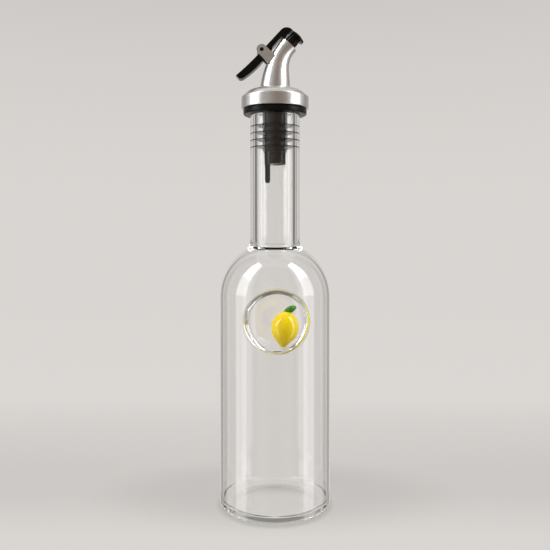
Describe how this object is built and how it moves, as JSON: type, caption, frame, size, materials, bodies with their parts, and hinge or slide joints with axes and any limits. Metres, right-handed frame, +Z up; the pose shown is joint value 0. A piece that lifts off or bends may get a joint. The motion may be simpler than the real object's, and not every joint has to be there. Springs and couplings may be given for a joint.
{
  "type": "oil and vinegar bottle",
  "caption": "Clear glass oil bottle with a round front pocket holding a glass lemon, and a metal pourer with a hinged flip-top lever on a finned rubber stopper.",
  "frame": {"origin": "centre of the bottle's foot, on the surface it stands on", "axes": "+Z up along the bottle, -Y is the front with the lemon, +X is where the spout leans"},
  "size_m": [0.058, 0.058, 0.2499],
  "materials": {
    "clear_glass": "clear, polished",
    "yellow_glass": "opaque coloured glass, glossy",
    "green_glass": "opaque coloured glass, glossy",
    "black_rubber": "matt",
    "black_plastic": "satin",
    "lever_plastic": "satin",
    "satin_metal": "satin chrome"
  },
  "bodies": {
    "bottle": {"glass_bottle": "clear_glass", "lemon": "yellow_glass", "lemon_leaf": "green_glass", "rubber_stopper": "black_rubber", "pourer_core": "black_plastic", "air_tube": "black_plastic", "pourer_spout": "satin_metal", "nozzle": "black_plastic", "hinge_pin": "black_plastic"},
    "lever": {"lever": "lever_plastic", "cap_seal": "black_rubber"}
  },
  "joints": [
    {"name": "lever_hinge", "type": "hinge", "parent": "bottle", "child": "lever", "pos_m": [-0.00685, 0, 0.2379], "axis": [0, -1, 0], "range_deg": [0, 21]}
  ]
}
